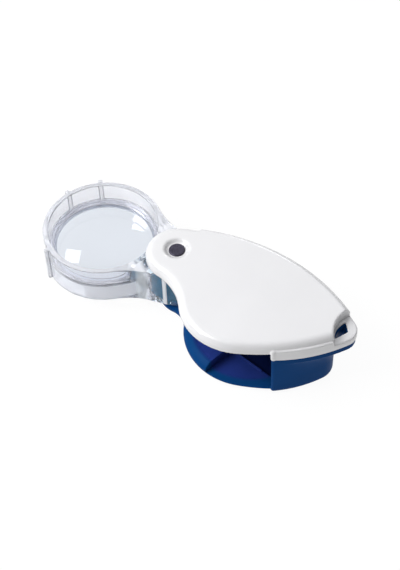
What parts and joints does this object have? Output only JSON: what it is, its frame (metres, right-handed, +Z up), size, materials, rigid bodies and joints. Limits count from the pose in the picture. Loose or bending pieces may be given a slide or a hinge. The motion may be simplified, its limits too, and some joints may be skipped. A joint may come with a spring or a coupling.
{
  "type": "illuminated folding magnifier",
  "caption": "Pocket magnifier: round clear-framed lens on a pivot folds into a teardrop case, lit by a lamp in the pivot.",
  "frame": {"origin": "pivot axis of the lens head where it meets the flat underside of the case", "axes": "+X along the case from the pivot to the lanyard end, +Z up through the cover; the lens head rests swung out towards -X and folds in through the -Y side"},
  "size_m": [0.1174, 0.0493, 0.025],
  "materials": {
    "case_blue": "satin moulded, glossy on the outside walls",
    "cover_white": "high gloss",
    "clear_frame": "polished clear",
    "lens_clear": "optical polish",
    "pin_dark": "burnished dark",
    "steel": "plain",
    "nickel": "nickel plated strip",
    "brass": "plain",
    "washer_nylon": "matte",
    "board": "solder mask",
    "lamp": "clear resin",
    "chip": "matte"
  },
  "bodies": {
    "case": {"base_shell": "case_blue", "top_cover": "cover_white", "case_screws": "steel", "pivot_pin": "pin_dark", "spring_washer": "steel", "thrust_washer": "washer_nylon", "contact_finger_feed": "brass", "contact_finger_led": "brass", "led_board": "board", "led": "lamp", "resistor": "chip", "battery_contact_pos": "nickel", "battery_contact_neg": "nickel", "coin_cell": "steel"},
    "lens_head": {"head_frame": "clear_frame", "lens": "lens_clear", "lens_retainer": "clear_frame", "hub_bush": "brass", "contact_ring": "brass"},
    "battery_cap": {"battery_door": "case_blue"}
  },
  "joints": [
    {"name": "lens_swing", "type": "hinge", "parent": "case", "child": "lens_head", "pos_m": [0, 0, 0], "axis": [0, 0, 1], "range_deg": [0, 161]},
    {"name": "battery_door_turn", "type": "hinge", "parent": "case", "child": "battery_cap", "pos_m": [0.017, -0.0002, 0], "axis": [0, 0, -1], "range_deg": [0, 40]}
  ]
}
